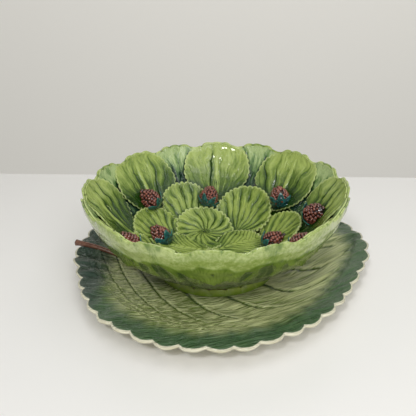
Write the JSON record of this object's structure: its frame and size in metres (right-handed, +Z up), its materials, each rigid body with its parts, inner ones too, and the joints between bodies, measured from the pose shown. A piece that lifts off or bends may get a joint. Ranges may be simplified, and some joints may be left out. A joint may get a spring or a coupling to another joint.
{
  "type": "leaf-shaped serving bowl with underplate",
  "caption": "Open round serving bowl built up from overlapping leaves with berries inside, standing loose on a single large leaf-shaped underplate.",
  "frame": {"origin": "on the table, at the centre of the underplate's foot ring, which is also the bowl's axis", "axes": "+Z up, -X towards the underplate's stem, +X towards its leaf tip, +Y to the back"},
  "size_m": [0.348, 0.3376, 0.1124],
  "materials": {
    "leaf_glaze": "glossy translucent green glaze, pale on the ribs and edges and dark in the hollows",
    "shell_glaze": "glossy olive green glaze, paler at the lip",
    "frill_glaze": "glossy yellow-green glaze",
    "berry_glaze": "glossy red-brown glaze, dark between the drupelets",
    "calyx_glaze": "glossy dark blue-green glaze",
    "plate_glaze": "glossy olive green glaze, darker towards the edge, ivory on the rim's edge and underneath",
    "stem_glaze": "glossy dark brown glaze",
    "bare_clay": "ivory glaze wiped off where it stands"
  },
  "bodies": {
    "plate": {"plate": "plate_glaze", "plate_foot_ring": "bare_clay", "plate_stem": "stem_glaze"},
    "bowl": {"back_leaf_1": "leaf_glaze", "back_leaf_2": "leaf_glaze", "back_leaf_3": "leaf_glaze", "back_leaf_4": "leaf_glaze", "back_leaf_5": "leaf_glaze", "back_leaf_6": "leaf_glaze", "back_leaf_7": "leaf_glaze", "back_leaf_8": "leaf_glaze", "berry_1": "berry_glaze", "berry_10": "berry_glaze", "berry_11": "berry_glaze", "berry_2": "berry_glaze", "berry_3": "berry_glaze", "berry_4": "berry_glaze", "berry_5": "berry_glaze", "berry_6": "berry_glaze", "berry_7": "berry_glaze", "berry_8": "berry_glaze", "berry_9": "berry_glaze", "bowl_foot_ring": "bare_clay", "bowl_shell": "shell_glaze", "calyx_1": "calyx_glaze", "calyx_10": "calyx_glaze", "calyx_11": "calyx_glaze", "calyx_2": "calyx_glaze", "calyx_3": "calyx_glaze", "calyx_4": "calyx_glaze", "calyx_5": "calyx_glaze", "calyx_6": "calyx_glaze", "calyx_7": "calyx_glaze", "calyx_8": "calyx_glaze", "calyx_9": "calyx_glaze", "foot_frill": "frill_glaze", "heart_leaf_1": "leaf_glaze", "heart_leaf_2": "leaf_glaze", "heart_leaf_3": "leaf_glaze", "heart_leaf_4": "leaf_glaze", "heart_leaf_5": "leaf_glaze", "inner_leaf_1": "leaf_glaze", "inner_leaf_2": "leaf_glaze", "inner_leaf_3": "leaf_glaze", "inner_leaf_4": "leaf_glaze", "inner_leaf_5": "leaf_glaze", "inner_leaf_6": "leaf_glaze", "inner_leaf_7": "leaf_glaze", "inner_leaf_8": "leaf_glaze", "rim_leaf_1": "leaf_glaze", "rim_leaf_2": "leaf_glaze", "rim_leaf_3": "leaf_glaze", "rim_leaf_4": "leaf_glaze", "rim_leaf_5": "leaf_glaze", "rim_leaf_6": "leaf_glaze", "rim_leaf_7": "leaf_glaze", "rim_leaf_8": "leaf_glaze"}
  },
  "joints": [
    {"name": "bowl_lift", "type": "slide", "parent": "plate", "child": "bowl", "axis": [0, 0, 1], "range_m": [0, 0.15]}
  ]
}
